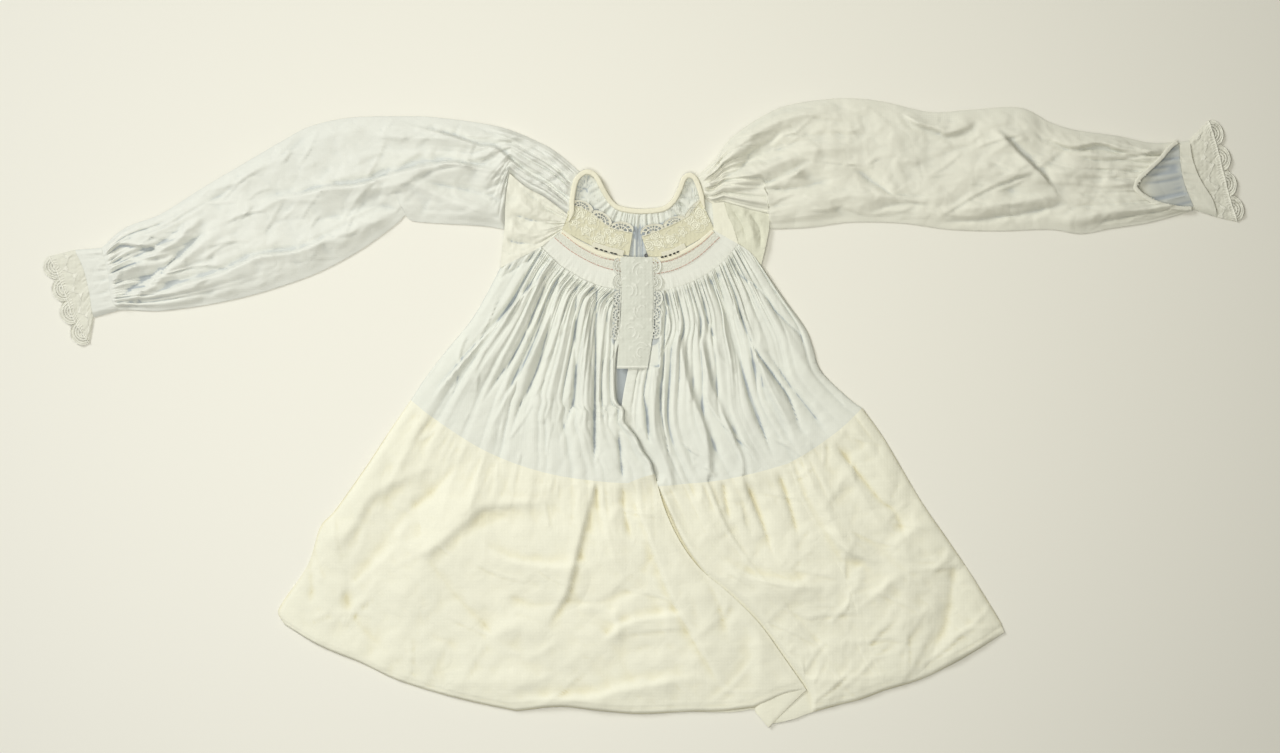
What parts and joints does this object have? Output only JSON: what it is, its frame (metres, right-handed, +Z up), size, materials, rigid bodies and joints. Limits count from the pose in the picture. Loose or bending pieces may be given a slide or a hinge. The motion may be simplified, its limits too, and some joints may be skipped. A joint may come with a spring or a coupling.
{
  "type": "womens shirt",
  "caption": "Traditional womens folk shirt laid out flat, with gathered yoke, lace neck and jabot, full gathered sleeves and lace cuffs.",
  "frame": {"origin": "on the surface under the centre of the spread garment", "axes": "+X towards the right-hand cuff, +Y towards the neck and sleeves, +Z up, away from the surface, the front facing up"},
  "size_m": [1.7009, 0.8778, 0.0153],
  "materials": {
    "white_cotton": "thin plain-weave cotton, matt",
    "cream_cotton": "unbleached plain-weave cotton, matt",
    "cream_binding": "matt cotton strip",
    "net_lace": "embroidered net, matt",
    "grey_lace": "fine lace, matt",
    "white_lace": "embroidered lace, matt",
    "eyelet_edging": "eyelet embroidery, matt",
    "openwork": "cotton with dark openwork",
    "cuff_lace": "corded lace, matt",
    "dark_metal": "dull"
  },
  "bodies": {
    "root": {"back_upper": "white_cotton", "front_upper_left": "white_cotton", "front_upper_right": "white_cotton", "yoke_left": "white_cotton", "yoke_right": "white_cotton", "placket_left": "white_cotton", "placket_right": "white_cotton", "sleeve_left": "white_cotton", "sleeve_right": "white_cotton", "sleeve_slit_binding": "white_cotton", "cuff_left": "white_cotton", "cuff_right": "white_cotton", "back_lower": "cream_cotton", "front_lower_centre": "cream_cotton", "front_lower_side": "cream_cotton", "shoulder_left": "cream_cotton", "shoulder_right": "cream_cotton", "neck_binding": "cream_binding", "yoke_piping_left": "cream_binding", "yoke_piping_right": "cream_binding", "gusset_right": "cream_binding", "lace_panel_left": "net_lace", "lace_panel_right": "net_lace", "insertion_left": "grey_lace", "insertion_right": "grey_lace", "jabot": "white_lace", "lace_edging_left": "eyelet_edging", "lace_edging_right": "eyelet_edging", "jabot_edging_left": "eyelet_edging", "jabot_edging_right": "eyelet_edging", "openwork_tab_left": "openwork", "openwork_tab_right": "openwork", "cuff_lace_left": "cuff_lace", "cuff_lace_right": "cuff_lace", "press_stud": "dark_metal"}
  },
  "joints": []
}
